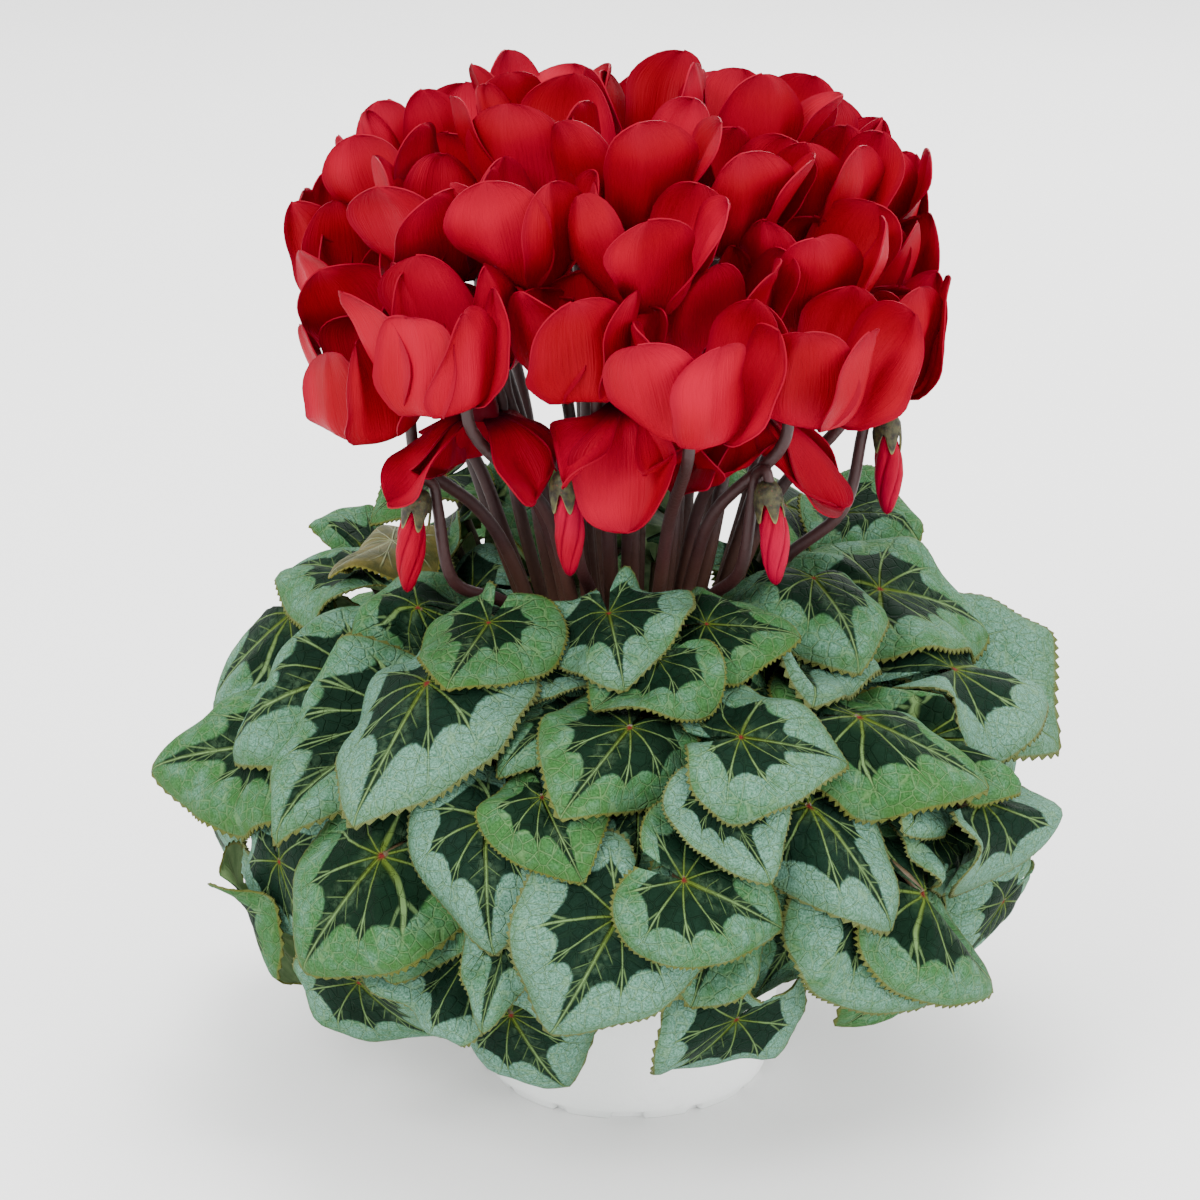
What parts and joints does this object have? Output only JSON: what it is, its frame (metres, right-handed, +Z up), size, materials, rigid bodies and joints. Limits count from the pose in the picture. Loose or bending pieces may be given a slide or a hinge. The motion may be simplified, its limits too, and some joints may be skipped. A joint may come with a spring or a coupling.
{
  "type": "potted cyclamen",
  "caption": "Florist's cyclamen in a white plastic nursery pot: a dome of crimson flowers on brown stalks over a mound of silver-edged, heart-shaped leaves.",
  "frame": {"origin": "middle of the pot's underside, on the surface it stands on", "axes": "+Z up along the pot's axis; the front that the picture shows faces -Y, with +X to its right"},
  "size_m": [0.3102, 0.3113, 0.3423],
  "materials": {
    "pot": "matte",
    "soil": "crumbly",
    "stalk": "satin",
    "petal": "satin",
    "bud": "satin",
    "leaf": "satin"
  },
  "bodies": {
    "root": {"pot": "pot", "soil": "soil", "tuber_and_flower_stalks": "stalk", "flower_01": "petal", "flower_02": "petal", "flower_03": "petal", "flower_04": "petal", "flower_05": "petal", "flower_06": "petal", "flower_07": "petal", "flower_08": "petal", "flower_09": "petal", "flower_10": "petal", "flower_11": "petal", "flower_12": "petal", "flower_13": "petal", "flower_14": "petal", "flower_15": "petal", "flower_16": "petal", "flower_17": "petal", "flower_18": "petal", "flower_19": "petal", "flower_20": "petal", "flower_21": "petal", "flower_22": "petal", "flower_23": "petal", "flower_24": "petal", "flower_25": "petal", "flower_26": "petal", "flower_27": "petal", "flower_28": "petal", "flower_29": "petal", "flower_30": "petal", "flower_31": "petal", "flower_32": "petal", "flower_33": "petal", "bud_01": "bud", "bud_02": "bud", "bud_03": "bud", "bud_04": "bud", "leaf_spray_01": "leaf", "leaf_spray_02": "leaf", "leaf_spray_03": "leaf", "leaf_spray_04": "leaf", "leaf_spray_05": "leaf", "leaf_spray_06": "leaf", "leaf_spray_07": "leaf", "leaf_spray_08": "leaf", "leaf_spray_09": "leaf", "leaf_spray_10": "leaf", "leaf_spray_11": "leaf", "leaf_spray_12": "leaf", "leaf_spray_13": "leaf", "leaf_spray_14": "leaf", "leaf_spray_15": "leaf", "leaf_spray_16": "leaf"}
  },
  "joints": []
}
